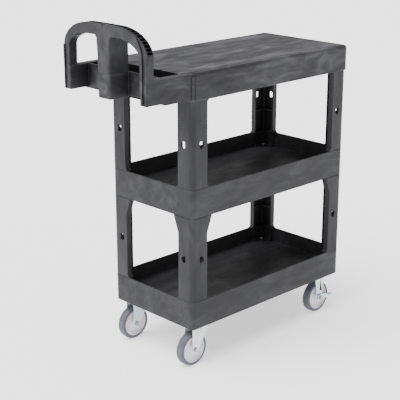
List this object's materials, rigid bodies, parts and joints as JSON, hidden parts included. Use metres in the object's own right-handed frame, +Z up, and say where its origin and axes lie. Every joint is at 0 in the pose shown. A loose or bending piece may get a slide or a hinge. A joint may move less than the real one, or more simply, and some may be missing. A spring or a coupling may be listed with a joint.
{
  "type": "rolling utility cart",
  "caption": "Flat-topped utility cart with open trays, a tool bin and hoop handles, on plastic legs and swivel and braked casters.",
  "frame": {"origin": "on the floor, at the middle of the whole cart in plan", "axes": "+X from the handles towards the leading end, +Y to the left, +Z up"},
  "size_m": [1.029, 0.437, 1.252],
  "materials": {
    "resin": "structural foam resin, matte with faint swirls",
    "zinc_plate": "bright zinc plated sheet steel",
    "steel": "zinc plated fasteners",
    "tyre_rubber": "grey thermoplastic rubber, matte",
    "hub_plastic": "pale grey moulded polypropylene, satin"
  },
  "bodies": {
    "root": {"top_shelf": "resin", "bin": "resin", "beam_left": "resin", "beam_right": "resin", "column_base": "resin", "middle_shelf": "resin", "bottom_shelf": "resin", "upper_leg_handle_left": "resin", "upper_leg_handle_right": "resin", "upper_leg_front_left": "resin", "upper_leg_front_right": "resin", "lower_leg_handle_left": "resin", "lower_leg_handle_right": "resin", "lower_leg_front_left": "resin", "lower_leg_front_right": "resin", "handle_left": "resin", "handle_right": "resin", "handle_screws": "steel", "leg_screws_top": "steel", "leg_bolts_middle": "steel", "leg_nuts_middle": "steel", "leg_screws_bottom": "steel", "caster_screws": "steel", "swivel_left_plate": "zinc_plate", "swivel_left_kingpin": "steel", "swivel_left_balls": "steel", "swivel_right_plate": "zinc_plate", "swivel_right_kingpin": "steel", "swivel_right_balls": "steel", "rigid_left_fork": "zinc_plate", "rigid_left_spacer": "steel", "rigid_left_axle": "steel", "rigid_left_nut": "steel", "rigid_left_cam": "steel", "rigid_right_fork": "zinc_plate", "rigid_right_spacer": "steel", "rigid_right_axle": "steel", "rigid_right_nut": "steel", "rigid_right_cam": "steel"},
    "swivel_left_caster": {"swivel_left_fork": "zinc_plate", "swivel_left_spacer": "steel", "swivel_left_axle": "steel", "swivel_left_nut": "steel"},
    "swivel_left_wheel": {"swivel_left_hub": "hub_plastic", "swivel_left_tyre": "tyre_rubber"},
    "swivel_right_caster": {"swivel_right_fork": "zinc_plate", "swivel_right_spacer": "steel", "swivel_right_axle": "steel", "swivel_right_nut": "steel"},
    "swivel_right_wheel": {"swivel_right_hub": "hub_plastic", "swivel_right_tyre": "tyre_rubber"},
    "rigid_left_wheel": {"rigid_left_hub": "hub_plastic", "rigid_left_tyre": "tyre_rubber"},
    "rigid_left_brake": {"rigid_left_lever": "zinc_plate"},
    "rigid_right_wheel": {"rigid_right_hub": "hub_plastic", "rigid_right_tyre": "tyre_rubber"},
    "rigid_right_brake": {"rigid_right_lever": "zinc_plate"}
  },
  "joints": [
    {"name": "swivel_left_turn", "type": "hinge", "parent": "root", "child": "swivel_left_caster", "pos_m": [-0.2455, 0.1625, 0.15], "axis": [0, 0, 1], "continuous": true},
    {"name": "swivel_left_roll", "type": "hinge", "parent": "swivel_left_caster", "child": "swivel_left_wheel", "pos_m": [-0.2705, 0.1625, 0.0635], "axis": [0, 1, 0], "continuous": true},
    {"name": "rigid_left_roll", "type": "hinge", "parent": "root", "child": "rigid_left_wheel", "pos_m": [0.4305, 0.1625, 0.0635], "axis": [0, 1, 0], "continuous": true},
    {"name": "rigid_left_brake_turn", "type": "hinge", "parent": "root", "child": "rigid_left_brake", "pos_m": [0.4305, 0.1625, 0.0635], "axis": [0, 1, 0], "range_deg": [0, 35]},
    {"name": "swivel_right_turn", "type": "hinge", "parent": "root", "child": "swivel_right_caster", "pos_m": [-0.2455, -0.1625, 0.15], "axis": [0, 0, 1], "continuous": true},
    {"name": "swivel_right_roll", "type": "hinge", "parent": "swivel_right_caster", "child": "swivel_right_wheel", "pos_m": [-0.2705, -0.1625, 0.0635], "axis": [0, 1, 0], "continuous": true},
    {"name": "rigid_right_roll", "type": "hinge", "parent": "root", "child": "rigid_right_wheel", "pos_m": [0.4305, -0.1625, 0.0635], "axis": [0, 1, 0], "continuous": true},
    {"name": "rigid_right_brake_turn", "type": "hinge", "parent": "root", "child": "rigid_right_brake", "pos_m": [0.4305, -0.1625, 0.0635], "axis": [0, 1, 0], "range_deg": [0, 35]}
  ]
}
